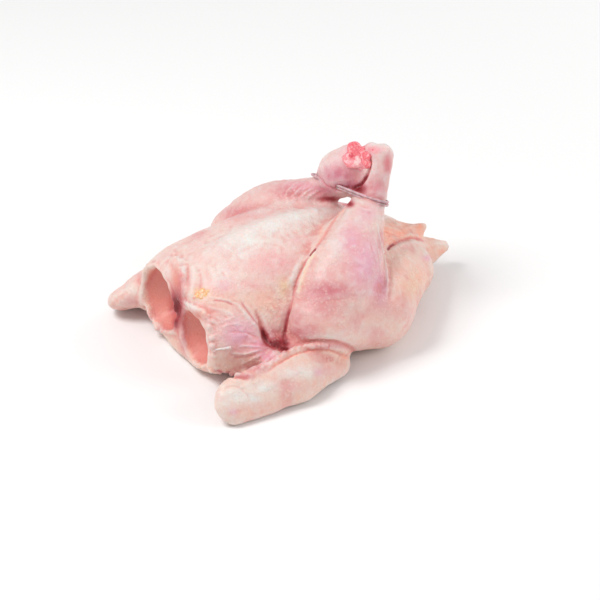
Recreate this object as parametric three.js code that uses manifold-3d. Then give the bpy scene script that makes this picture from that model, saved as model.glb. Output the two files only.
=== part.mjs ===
// A whole raw chicken lying on its back, legs crossed and tied. Millimetres.
// +X runs from the neck to the tail, +Y to the bird's left, +Z up through the breast.
// The origin is on the flat of the back, where the bird rests.

import * as THREE from 'three';
import { MarchingCubes } from 'three/addons/objects/MarchingCubes.js';
import { mergeVertices } from 'three/addons/utils/BufferGeometryUtils.js';
import Module from 'manifold-3d';

const wasm = await Module();
wasm.setup();

const at = ( x, y, z ) => new THREE.Vector3( x, y, z );

// ---------------------------------------------------------------- driving dimensions

const RIBS = { centre: at( - 22, 0, 36 ), radii: at( 92, 56, 40 ) };
const BREAST = { centre: at( - 33, 18, 46 ), radii: at( 84, 34, 39 ), fillet: 10 };
const KEEL = { centre: at( - 32, 0, 65 ), radii: at( 70, 14, 26 ), fillet: 12 };
const CROP = { centre: at( - 76, 3, 36 ), radii: at( 68, 60, 42 ), fillet: 8 };
const NECK_SKIN = { centre: at( - 88, - 26, 29 ), radii: at( 42, 32, 29 ), fillet: 8 };
const PELVIS = { centre: at( 36, 0, 30 ), radii: at( 54, 40, 29 ), fillet: 12 };
const RUMP = { centre: at( 66, 23, 26 ), radii: at( 20, 18, 22 ), fillet: 6 };

const NECK_CUT_X = - 116;
const NECK_CUT_SKEW = 0.05; // how far the cut leans forward for each mm to the left
const POCKETS = [
	{ centre: at( - 129, 22.5, 36.5 ), radii: at( 32, 25, 28 ) },
	{ centre: at( - 128, - 26, 31 ), radii: at( 30, 21.5, 25 ) },
];
const POCKET_ROUND = 2;

const VENT_FLAP = { points: [ at( 34, 0, 44 ), at( 78, 0, 34 ) ], radii: [ 18, 10 ], fillet: 8 };
const VENT_HORN = { points: [ at( 74, 0, 42 ), at( 94, 0, 43 ) ], radii: [ 6, 4 ], fillet: 5 };
const TAIL = { points: [ at( 84, 0, 21 ), at( 112, 0, 19.5 ) ], radii: [ 16, 5 ], fillet: 5 };

// Each leg is a thigh along the side and a drumstick from the knee to the ankle. The profile
// gives the drumstick's radius at each fraction of its length.
const LEGS = {
	right: {
		thigh: [ at( - 30, - 60, 39 ), at( 18, - 55, 29 ), at( 45, - 33, 30 ) ],
		thighRadii: [ 27, 29, 26 ],
		ankle: at( 37, - 18, 97 ),
		profile: [ [ 0, 28 ], [ 0.25, 30.5 ], [ 0.44, 29 ], [ 0.63, 21.7 ], [ 0.79, 16 ], [ 1, 11 ] ],
		hock: { points: [ at( 37, - 18, 97 ), at( 51, - 6, 130 ) ], radii: [ 11, 11 ] },
	},
	left: {
		thigh: [ at( - 26, 58, 38 ), at( 18, 55, 29 ), at( 45, 33, 30 ) ],
		thighRadii: [ 27, 29, 26 ],
		ankle: at( 20, 20, 89 ),
		profile: [ [ 0, 27.5 ], [ 0.25, 28.5 ], [ 0.44, 27 ], [ 0.63, 20.5 ], [ 0.79, 15 ], [ 1, 11 ] ],
		hock: { points: [ at( 20, 20, 89 ), at( 28, 9.5, 106 ), at( 38.5, 1, 123.5 ) ], radii: [ 11, 17, 12.5 ] },
	},
};
const THIGH_FILLET = 4;
const DRUMSTICK_FILLET = 1.5;
const LEG_TAPER_FILLET = 5;
const ANKLE_FILLET = 2.5;

// The ankle is cut square across its joint, where three round lobes of bone stand out.
const HOCK_FILLET = 4;
const CUT_EDGE_ROUND = 2;
const BONE_LOBE_RADIUS = 5.5;
const BONE_LOBE_TURNS = [ 0.4, 2.5, 4.6 ];
const BONE_LOBE_SUNK = 2;
const BONE_LOBE_FILLET = 2;

// A wing is a flattened forearm and tip lying along the side, a round upper arm, and the web
// of skin that closes the gap between them and the body.
const WINGS = {
	right: {
		plate: [ at( - 114.5, - 87, 14 ), at( - 65, - 86.5, 19 ), at( - 25, - 80.5, 10 ) ],
		plateRadii: [ 17.5, 19.5, 9.5 ],
		outward: at( 0, - 0.8, 0.6 ),
		arm: [ at( - 92, - 44, 30 ), at( - 66, - 66, 22 ) ],
		armRadii: [ 15, 12 ],
		web: [ at( - 84, - 60, 9 ), at( - 42, - 66, 9 ) ],
		webRadii: [ 14, 13 ],
	},
	left: {
		plate: [ at( - 120, 65, 15 ), at( - 66, 83, 16 ), at( - 22, 80, 9 ) ],
		plateRadii: [ 18, 20, 10 ],
		outward: at( 0, 0.69, 0.72 ),
		arm: [ at( - 92, 46, 38 ), at( - 112, 58, 22 ) ],
		armRadii: [ 15, 13 ],
		web: [ at( - 92, 60, 10 ), at( - 42, 66, 10 ) ],
		webRadii: [ 15, 14 ],
	},
};
const WING_THICKNESS = 0.48; // of its width
const WEB_THICKNESS = 0.5;
const WING_BEND_FILLET = 6;
const WEB_FILLET = 3;
const WING_FILLET = 1.5;

const TIE_RADIUS = 1;
const TIE_TWIST = 1.15; // half the distance between the two strands
const TIE_CLEARANCE = 0.3;
const TIE_RING = {
	left: at( 23, 16, 97 ),
	right: at( 37, - 18, 97 ),
	leftRadius: 14.4,
	rightRadius: 13,
	up: at( 0.5, 0.16, 0.85 ),
};
const TIE_RING_EASE = 2.2; // how quickly the ring passes from one ankle's circle to the other's
const TIE_STEPS = 110;
const TIE_SIDES = 6;
const FURROW_STEPS = 60;
const FURROW_SIDES = 8;

// The cube of space that is turned into a mesh, and how finely.
const BOX_CENTRE = at( - 9, 0, 62 );
const BOX_HALF = 136;
const GRID_STEPS = 62;
const CELL = 2 * BOX_HALF / GRID_STEPS;
const SNAP_DEPTH = 0.28 * CELL;
const MAX_TRIANGLES = 60000;
const RELAX_ROUNDS = 6;
const SLOPE_STEP = 0.2;
const SLOPE_FLOOR = 0.05;
const SETTLE_ROUNDS = 4;

// ---------------------------------------------------------------- forms

// A form is a function of a point: its distance to the surface, negative inside.

/** The smaller of two distances, rounded where they are within `fillet` of each other. */
function blend( a, b, fillet ) {

	const share = THREE.MathUtils.clamp( 0.5 + 0.5 * ( b - a ) / fillet, 0, 1 );
	return b + ( a - b ) * share - fillet * share * ( 1 - share );

}

const joined = ( a, b, fillet ) => ( p ) => blend( a( p ), b( p ), fillet );
const carved = ( a, tool, fillet ) => ( p ) => - blend( - a( p ), tool( p ), fillet );

function ellipsoid( { centre, radii } ) {

	const q = at( 0, 0, 0 );

	return ( p ) => {

		q.copy( p ).sub( centre ).divide( radii );
		const near = q.length();
		const slope = q.divide( radii ).length();
		return near * ( near - 1 ) / Math.max( slope, 1e-9 );

	};

}

/** A tapered capsule, thinner by `squash` along `thin`. */
function limb( from, to, radiusFrom, radiusTo, thin = null, squash = 1 ) {

	const axis = to.clone().sub( from );
	const q = at( 0, 0, 0 );

	return ( p ) => {

		q.copy( p ).sub( from );
		const along = THREE.MathUtils.clamp( q.dot( axis ) / axis.lengthSq(), 0, 1 );
		const radius = THREE.MathUtils.lerp( radiusFrom, radiusTo, along );
		q.addScaledVector( axis, - along );
		if ( ! thin ) return q.length() - radius;

		const across = q.dot( thin );
		const real = q.length();
		q.addScaledVector( thin, across * ( 1 / squash - 1 ) );
		const stretched = q.length();
		const scale = stretched > 1e-9 ? real / stretched : squash;
		return ( stretched - radius ) * scale;

	};

}

/** Limbs end to end through the points. */
function chain( points, radii, fillet, thin, squash ) {

	const limbs = points.slice( 1 ).map( ( point, i ) =>
		limb( points[ i ], point, radii[ i ], radii[ i + 1 ], thin, squash ) );
	return limbs.reduce( ( sum, next ) => joined( sum, next, fillet ) );

}

/** Everything on the far side of a plane through `point`, facing `normal`. */
function beyond( point, normal ) {

	const unit = normal.clone().normalize();
	return ( p ) => unit.dot( point ) - unit.dot( p );

}

const mirrored = ( { centre, radii } ) => ( { centre: centre.clone().multiply( at( 1, - 1, 1 ) ), radii } );

// ---------------------------------------------------------------- the bird's pieces

function torso() {

	let form = ellipsoid( RIBS );
	for ( const lobe of [ BREAST, mirrored( BREAST ) ] ) form = joined( form, ellipsoid( lobe ), BREAST.fillet );
	for ( const muscle of [ KEEL, CROP, NECK_SKIN, PELVIS ] ) {

		form = joined( form, ellipsoid( muscle ), muscle.fillet );

	}

	for ( const strip of [ VENT_FLAP, VENT_HORN ] ) {

		form = joined( form, chain( strip.points, strip.radii, strip.fillet ), strip.fillet );

	}

	return carved( form, beyond( at( NECK_CUT_X, 0, 0 ), at( - 1, - NECK_CUT_SKEW, 0 ) ), POCKET_ROUND );

}

function thigh( leg ) {

	return chain( leg.thigh, leg.thighRadii, THIGH_FILLET );

}

function drumstick( leg ) {

	const knee = leg.thigh[ 0 ];
	const points = leg.profile.map( ( [ t ] ) => knee.clone().lerp( leg.ankle, t ) );
	return chain( points, leg.profile.map( ( [ , radius ] ) => radius ), LEG_TAPER_FILLET );

}

/** The ankle and hock knob, cut square across the joint, with the ends of the bone showing. */
function hock( { hock } ) {

	const [ before, end ] = hock.points.slice( - 2 );
	const along = end.clone().sub( before ).normalize();
	const side = at( 0, 1, 0 ).cross( along ).normalize();
	const round = at( 1, 1, 1 ).multiplyScalar( BONE_LOBE_RADIUS );
	let form = carved( chain( hock.points, hock.radii, HOCK_FILLET ), beyond( end, along ), CUT_EDGE_ROUND );
	for ( const turn of BONE_LOBE_TURNS ) {

		const outward = side.clone().applyAxisAngle( along, turn );
		const centre = end.clone().addScaledVector( outward, BONE_LOBE_RADIUS );
		centre.addScaledVector( along, - BONE_LOBE_SUNK );
		form = joined( form, ellipsoid( { centre, radii: round } ), BONE_LOBE_FILLET );

	}

	return form;

}

function wing( { plate, plateRadii, outward, arm, armRadii, web, webRadii } ) {

	const flat = chain( plate, plateRadii, WING_BEND_FILLET, outward.clone().normalize(), WING_THICKNESS );
	const skinWeb = chain( web, webRadii, WING_BEND_FILLET, at( 0, 0, 1 ), WEB_THICKNESS );
	const boned = joined( flat, chain( arm, armRadii, WING_BEND_FILLET ), WING_BEND_FILLET );
	return joined( boned, skinWeb, WEB_FILLET );

}

function bird() {

	let form = torso();
	for ( const leg of [ LEGS.right, LEGS.left ] ) {

		form = joined( form, thigh( leg ), THIGH_FILLET );
		form = joined( form, drumstick( leg ), DRUMSTICK_FILLET );
		form = joined( form, hock( leg ), ANKLE_FILLET );

	}

	for ( const side of [ WINGS.right, WINGS.left ] ) form = joined( form, wing( side ), WING_FILLET );
	for ( const lump of [ RUMP, mirrored( RUMP ) ] ) form = joined( form, ellipsoid( lump ), RUMP.fillet );
	form = joined( form, chain( TAIL.points, TAIL.radii, TAIL.fillet ), TAIL.fillet );
	for ( const pocket of POCKETS ) form = carved( form, ellipsoid( pocket ), POCKET_ROUND );
	return form;

}

// ---------------------------------------------------------------- from a form to a mesh

/** The form's slope at a point, as a vector. */
function slope( form, p ) {

	const q = p.clone();
	const difference = ( axis ) => {

		q[ axis ] = p[ axis ] + SLOPE_STEP;
		const ahead = form( q );
		q[ axis ] = p[ axis ] - SLOPE_STEP;
		const behind = form( q );
		q[ axis ] = p[ axis ];
		return ( ahead - behind ) / ( 2 * SLOPE_STEP );

	};

	return at( difference( 'x' ), difference( 'y' ), difference( 'z' ) );

}

/** Moves a point onto the form's surface, by at most `reach`. */
function settle( form, p, reach ) {

	const start = p.clone();
	for ( let i = 0; i < SETTLE_ROUNDS; i ++ ) {

		const away = slope( form, p );
		p.addScaledVector( away, - form( p ) / Math.max( away.lengthSq(), SLOPE_FLOOR ) );

	}

	const moved = p.clone().sub( start ).clampLength( 0, reach );
	return p.copy( start ).add( moved );

}

/** Marching cubes over the form. Grid points that nearly touch the surface are put on it. */
function polygonise( form ) {

	const cubes = new MarchingCubes( GRID_STEPS, new THREE.Material(), false, false, MAX_TRIANGLES );
	const place = ( i, axis ) => BOX_CENTRE[ axis ] + ( 2 * i / GRID_STEPS - 1 ) * BOX_HALF;
	cubes.isolation = 0;
	const p = at( 0, 0, 0 );
	for ( let k = 0; k < GRID_STEPS; k ++ ) {

		for ( let j = 0; j < GRID_STEPS; j ++ ) {

			for ( let i = 0; i < GRID_STEPS; i ++ ) {

				p.set( place( i, 'x' ), place( j, 'y' ), place( k, 'z' ) );
				const depth = - form( p );
				const index = i + GRID_STEPS * ( j + GRID_STEPS * k );
				cubes.field[ index ] = Math.abs( depth ) < SNAP_DEPTH ? 0 : depth;

			}

		}

	}

	cubes.update();
	const corners = new THREE.BufferAttribute( cubes.positionArray.slice( 0, 3 * cubes.count ), 3 );
	const geometry = new THREE.BufferGeometry().setAttribute( 'position', corners );
	geometry.scale( BOX_HALF, BOX_HALF, BOX_HALF );
	geometry.translate( BOX_CENTRE.x, BOX_CENTRE.y, BOX_CENTRE.z );
	return withoutSlivers( mergeVertices( geometry, 1e-2 ) );

}

/** Drops the triangles that have two corners in one place. */
function withoutSlivers( geometry ) {

	const kept = [];
	const index = geometry.index.array;
	for ( let i = 0; i < index.length; i += 3 ) {

		const [ a, b, c ] = index.slice( i, i + 3 );
		if ( a !== b && b !== c && c !== a ) kept.push( a, b, c );

	}

	return geometry.setIndex( kept );

}

/** For each corner of the mesh, the set of corners that share an edge with it. */
function neighboursOf( geometry ) {

	const index = geometry.index.array;
	const neighbours = Array.from( { length: geometry.attributes.position.count }, () => new Set() );
	for ( let i = 0; i < index.length; i += 3 ) {

		const corners = index.slice( i, i + 3 );
		for ( const a of corners ) for ( const b of corners ) if ( a !== b ) neighbours[ a ].add( b );

	}

	return neighbours;

}

/** Keeps the largest connected shell, which fills any hollow sealed between the pieces. */
function outerShell( geometry ) {

	const neighbours = neighboursOf( geometry );
	const shellOf = new Array( neighbours.length ).fill( - 1 );
	const sizes = [];
	for ( let seed = 0; seed < neighbours.length; seed ++ ) {

		if ( shellOf[ seed ] >= 0 ) continue;
		const waiting = [ seed ];
		const shell = sizes.push( 0 ) - 1;
		shellOf[ seed ] = shell;
		while ( waiting.length > 0 ) {

			sizes[ shell ] ++;
			for ( const next of neighbours[ waiting.pop() ] ) {

				if ( shellOf[ next ] >= 0 ) continue;
				shellOf[ next ] = shell;
				waiting.push( next );

			}

		}

	}

	const largest = sizes.indexOf( Math.max( ...sizes ) );
	const index = Array.from( geometry.index.array );
	return geometry.setIndex( index.filter( ( _, i ) => shellOf[ index[ i ] ] === largest ) );

}

/** Evens out the triangles, keeping every corner on the form. */
function relax( geometry, form ) {

	const position = geometry.attributes.position;
	const neighbours = neighboursOf( geometry );
	const points = neighbours.map( ( _, i ) => at( 0, 0, 0 ).fromBufferAttribute( position, i ) );
	points.forEach( ( p, i ) => neighbours[ i ].size && settle( form, p, CELL / 2 ) );
	for ( let round = 0; round < RELAX_ROUNDS; round ++ ) {

		const middles = points.map( ( p, i ) => {

			const middle = at( 0, 0, 0 );
			neighbours[ i ].forEach( ( j ) => middle.add( points[ j ] ) );
			return middle.divideScalar( neighbours[ i ].size || 1 );

		} );
		points.forEach( ( p, i ) => neighbours[ i ].size && settle( form, p.lerp( middles[ i ], 0.5 ), CELL ) );

	}

	points.forEach( ( p, i ) => position.setXYZ( i, p.x, p.y, p.z ) );
	return geometry;

}

// ---------------------------------------------------------------- solids

function toSolid( geometry ) {

	const bare = geometry.clone();
	bare.deleteAttribute( 'normal' );
	bare.deleteAttribute( 'uv' );
	const merged = withoutSlivers( mergeVertices( bare, 1e-3 ) );
	return new wasm.Manifold( new wasm.Mesh( {
		numProp: 3,
		vertProperties: Float32Array.from( merged.attributes.position.array ),
		triVerts: Uint32Array.from( merged.index.array ),
	} ) );

}

function toGeometry( solid ) {

	const { vertProperties, triVerts } = solid.getMesh();
	const geometry = new THREE.BufferGeometry();
	geometry.setAttribute( 'position', new THREE.BufferAttribute( Float32Array.from( vertProperties ), 3 ) );
	geometry.setIndex( Array.from( triVerts ) );
	return geometry;

}

/** A ring round both ankles: half a circle round each, with straight sides between. */
class AnkleRing extends THREE.Curve {

	constructor( turns, twist ) {

		super();
		this.turns = turns;
		this.twist = twist;
		this.span = TIE_RING.right.clone().sub( TIE_RING.left );
		this.across = this.span.clone().normalize();
		this.up = TIE_RING.up.clone().projectOnPlane( this.across ).normalize();
		this.front = this.across.clone().cross( this.up );

	}

	getPoint( t, target = at( 0, 0, 0 ) ) {

		const angle = 2 * Math.PI * t * this.turns;
		const [ along, out ] = [ Math.cos( angle ), Math.sin( angle ) ];
		const share = 0.5 + 0.5 * Math.tanh( TIE_RING_EASE * along );
		const middle = TIE_RING.left.clone().lerp( TIE_RING.right, share );
		const radial = this.across.clone().multiplyScalar( along ).addScaledVector( this.front, out );
		const radius = THREE.MathUtils.lerp( TIE_RING.leftRadius, TIE_RING.rightRadius, share );
		const reach = radius + this.twist * Math.sin( angle / this.turns );
		return target.copy( middle )
			.addScaledVector( radial, reach )
			.addScaledVector( this.up, this.twist * Math.cos( angle / this.turns ) );

	}

}

function tieStrand() {

	return new THREE.TubeGeometry( new AnkleRing( 2, TIE_TWIST ), TIE_STEPS, TIE_RADIUS, TIE_SIDES, true );

}

/** The furrow that the tie presses into the skin. */
function tieFurrow() {

	const radius = TIE_TWIST + TIE_RADIUS + TIE_CLEARANCE;
	return new THREE.TubeGeometry( new AnkleRing( 1, 0 ), FURROW_STEPS, radius, FURROW_SIDES, true );

}

function chickenGeometry() {

	const form = bird();
	const resting = ( p ) => Math.max( form( p ), - p.z );
	const skin = relax( polygonise( resting ), resting );
	return outerShell( toGeometry( toSolid( skin ).subtract( toSolid( tieFurrow() ) ) ) );

}

// ---------------------------------------------------------------- the part

const skin = new THREE.MeshStandardMaterial( { color: 0xe9b9a6, roughness: 0.42, metalness: 0 } );
const elastic = new THREE.MeshStandardMaterial( { color: 0xa89aa0, roughness: 0.35, metalness: 0 } );

function named( name, geometry, material ) {

	const mesh = new THREE.Mesh( geometry, material );
	mesh.name = name;
	return mesh;

}

const chicken = new THREE.Group();
chicken.add( named( 'chicken', chickenGeometry(), skin ) );
chicken.add( named( 'leg_tie', tieStrand(), elastic ) );

export default chicken;
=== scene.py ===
"""Dresses a whole raw chicken: its skin, cut neck, bone ends and leg tie, on a pale studio floor.

+X runs from neck to tail, +Y to the bird's left, +Z up through the breast. Shapes are worked
out in millimetres and written to the meshes in metres. A place in the frame is given in pixels
across and down from its top left corner, as the studio camera sees it.
"""

import functools
import math

import bmesh
import bpy
import numpy as np
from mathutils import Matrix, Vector
from mathutils.bvhtree import BVHTree


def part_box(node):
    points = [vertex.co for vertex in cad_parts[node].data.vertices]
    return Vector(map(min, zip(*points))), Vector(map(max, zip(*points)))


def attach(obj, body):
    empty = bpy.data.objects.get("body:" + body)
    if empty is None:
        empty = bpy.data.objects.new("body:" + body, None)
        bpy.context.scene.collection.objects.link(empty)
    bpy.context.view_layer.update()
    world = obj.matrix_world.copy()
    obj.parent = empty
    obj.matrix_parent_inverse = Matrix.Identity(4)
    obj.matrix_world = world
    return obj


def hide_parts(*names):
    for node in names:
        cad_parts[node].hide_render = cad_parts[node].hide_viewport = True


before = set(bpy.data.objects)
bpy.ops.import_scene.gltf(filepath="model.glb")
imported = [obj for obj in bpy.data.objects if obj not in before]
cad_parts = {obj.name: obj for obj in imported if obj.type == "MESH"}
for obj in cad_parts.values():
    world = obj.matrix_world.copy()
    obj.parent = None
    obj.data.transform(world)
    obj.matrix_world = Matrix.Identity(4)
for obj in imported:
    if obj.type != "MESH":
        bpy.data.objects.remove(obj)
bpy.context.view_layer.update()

bl_info = {
    "name": "Raw Chicken",
    "version": (1, 0, 0),
    "blender": (4, 5, 0),
    "location": "View3D > Sidebar > Chicken",
    "description": "Builds a whole raw chicken with tied legs, piece by piece",
    "category": "Add Mesh",
}

MM = 0.001
FRAME_PX = 600
SENSOR = 36.0  # width of the camera's sensor, in millimetres

# ---- properties


def colour(name, description, default):
    """A colour property, given as red, green and blue from 0 to 1 as they show on screen."""
    return bpy.props.FloatVectorProperty(
        name=name, description=description, default=default, size=3, subtype="COLOR_GAMMA",
        min=0, max=1,
    )


def length(name, description, default):
    """A length or distance, in metres."""
    return bpy.props.FloatProperty(
        name=name, description=description, default=default, unit="LENGTH", subtype="DISTANCE",
        min=0,
    )


def angle(name, description, degrees):
    return bpy.props.FloatProperty(
        name=name, description=description, default=math.radians(degrees), subtype="ANGLE"
    )


class ChickenSizes(bpy.types.PropertyGroup):
    grain: length("Skin grain", "Spacing of the skin mesh's points, halved near its folds", 0.0016)
    rough_grain: length("Form grain", "Spacing of the points while the form is smoothed", 0.0018)
    rim: length("Neck rim", "Radius of the rolled skin edge round the neck openings", 0.0017)
    follicle_spacing: length("Follicle spacing", "Distance between the feather follicles", 0.0025)


class ChickenColours(bpy.types.PropertyGroup):
    skin: colour("Skin", "Skin where nothing else shows through", (0.905, 0.805, 0.77))
    # Also laid as a painted highlight along the top of the breast and on the tail.
    pale: colour("Pale skin", "Thick white skin along the breast", (0.90, 0.895, 0.88))
    pink: colour("Pink skin", "Muscle showing through thin skin", (0.905, 0.69, 0.69))
    # Also laid as painted shade in creases, furrows and shaded gaps.
    rosy: colour("Rosy skin", "The reddest patches on the legs", (0.805, 0.44, 0.465))
    cream: colour("Cream skin", "Skin over fat", (0.93, 0.765, 0.695))
    orange: colour("Fat", "Bare fat at the vent", (1.0, 0.67, 0.56))
    yellow: colour("Yellow fat", "Beads of yellow fat", (0.94, 0.77, 0.56))
    flesh: colour("Flesh", "Cut flesh in the neck openings", (0.89, 0.59, 0.53))
    # Painted shade: this darker red is laid in every hollow of the skin, both for the redder skin there
    # and for the shade that falls in it.
    crease_red_and_shade: colour("Folded skin", "Skin in creases, where more red shows", (0.86, 0.55, 0.53))
    # Painted shade: this blood-dark red is laid in crevices, gaps and hollows, both as the dark flesh
    # there and as the shade that falls in them.
    dark_red_and_shade: colour("Deep flesh", "Blood-dark flesh in crevices", (0.44, 0.05, 0.08))
    # Also laid as a painted highlight on the upper arm by the wing.
    mauve: colour("Mauve skin", "Bluish shade of thin skin over dark flesh", (0.90, 0.67, 0.75))
    plum: colour("Plum skin", "Skin of the ankles, with dark flesh behind it", (0.80, 0.47, 0.54))
    bone: colour("Cut bone", "Red marrow at the leg ends", (0.93, 0.49, 0.53))
    blood: colour("Blood", "Dark blood at the leg ends", (0.86, 0.36, 0.42))
    gristle: colour("Gristle", "Pink gristle round the bone", (0.93, 0.61, 0.64))
    cartilage: colour("Cartilage", "White cartilage at the leg ends", (0.96, 0.84, 0.83))
    tie: colour("Tie", "Elastic round the ankles", (0.80, 0.66, 0.68))
    floor: colour("Floor", "Studio floor and backdrop", (0.96, 0.96, 0.96))


class StudioSettings(bpy.types.PropertyGroup):
    lens: bpy.props.FloatProperty(
        name="Lens", description="Focal length", default=200, unit="CAMERA", min=20
    )
    azimuth: angle("Azimuth", "Where the camera stands round the bird", -30)
    elevation: angle("Elevation", "How far the camera looks down", 34.8)
    width: length("Framed width", "Width of the view at the bird", 0.4444)
    aim_right: length("Aim right", "How far right of the origin the view's middle is", 0.0108)
    aim_up: length("Aim up", "How far up from the origin the view's middle is", 0.0074)
    key: bpy.props.FloatProperty(
        name="Key light", description="Power of the main light", default=7.6, unit="POWER"
    )
    sky: bpy.props.FloatProperty(name="Sky", description="Strength of the even light", default=0.56)


# ---- camera frame


class View:
    """The studio camera's frame: turns a place in the 600-pixel frame into a ray, in millimetres."""

    def __init__(self, studio):
        a, e = studio.azimuth, studio.elevation
        self.back = Vector((math.sin(a) * math.cos(e), -math.cos(a) * math.cos(e), math.sin(e)))
        self.right = Vector((0, 0, 1)).cross(self.back).normalized()
        self.up = self.back.cross(self.right)
        self.distance = studio.width * studio.lens / SENSOR
        self.aim = self.right * (-studio.aim_right) + self.up * studio.aim_up
        self.place = self.aim + self.back * self.distance
        self.per_px = studio.width / FRAME_PX

    def ray(self, u, v):
        """The line of sight through a pixel: its start and its direction."""
        spot = self.aim + self.right * ((u - FRAME_PX / 2) * self.per_px)
        spot += self.up * ((FRAME_PX / 2 - v) * self.per_px)
        return self.place / MM, (spot - self.place).normalized()

    def seen(self, co):
        """Where points show in the frame, across and down in pixels, and how near they are."""
        offset = co - np.array(self.place) / MM
        near = offset @ np.array(self.back)
        zoom = -self.distance / self.per_px / near
        across = FRAME_PX / 2 + offset @ np.array(self.right) * zoom
        return across, FRAME_PX / 2 - offset @ np.array(self.up) * zoom, near


# ---- mesh helpers

SAME_PLACE = 1e-6  # corners of the solid nearer to each other than this, in metres, are one
PUSH_IN = 0.6  # share of the way to its neighbours' middle that smoothing moves a point
PUSH_OUT = 0.62  # share that it is then pushed back, so that the form doesn't shrink
BLUR_ROUNDS = 6  # rounds of averaging that give the level from which hollows are measured
PATH_STEPS = 5  # points of a path for each of its places
SEARCH = range(-120, 121, 6)  # where along a ray that misses the skin the nearest place is sought
STROKE_REACH, BRUSH_REACH = 3, 2.6  # how far strokes and brushes reach, in half widths
STROKE_TAPER = 0.25  # share of a stroke's length over which each end fades
STROKE_FADE = 0.7  # below 1 the fading ends are fuller
BRUSH_TAPER = 0.1  # the same share for a brush, whose ends keep some of their colour
BRUSH_ENDS = 0.35
PATCH_DEPTH = 32.0  # how far a patch of colour reaches along the line of sight, in millimetres
FACING = (-0.3, 0.1)  # a patch fades where the skin turns away: from none to full
LATTICE = 32  # the noise repeats after this many bumps
LATTICE_START = 1000.0  # keeps places in the noise above 0


def coordinates(mesh):
    co = np.empty(len(mesh.vertices) * 3)
    mesh.vertices.foreach_get("co", co)
    return co.reshape(-1, 3)


def set_coordinates(mesh, co):
    mesh.vertices.foreach_set("co", np.ascontiguousarray(co, dtype=float).ravel())
    mesh.update()


def new_object(name, data):
    made = bpy.data.objects.new(name, data)
    bpy.context.scene.collection.objects.link(made)
    return made


def mesh_from(bm, name):
    """A mesh from a bmesh, which is freed."""
    mesh = bpy.data.meshes.new(name)
    bm.to_mesh(mesh)
    bm.free()
    return mesh


def merged_copy(node):
    """The named solid's mesh in millimetres, with its corners joined."""
    bm = bmesh.new()
    bm.from_mesh(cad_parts[node].data)
    bmesh.ops.remove_doubles(bm, verts=bm.verts, dist=SAME_PLACE)
    bmesh.ops.scale(bm, vec=(1 / MM,) * 3, verts=bm.verts)
    return bm


def fused(bm, name, grain):
    """One closed skin over everything in bm, with points about `grain` millimetres apart."""
    rough = new_object(name, mesh_from(bm, name))
    remesh = rough.modifiers.new("fuse", "REMESH")
    remesh.mode = "VOXEL"
    remesh.voxel_size = grain
    remesh.adaptivity = 0
    evaluated = rough.evaluated_get(bpy.context.evaluated_depsgraph_get())
    mesh = bpy.data.meshes.new_from_object(evaluated)
    old = rough.data
    bpy.data.objects.remove(rough)
    bpy.data.meshes.remove(old)
    mesh.name = name
    return mesh


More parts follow.
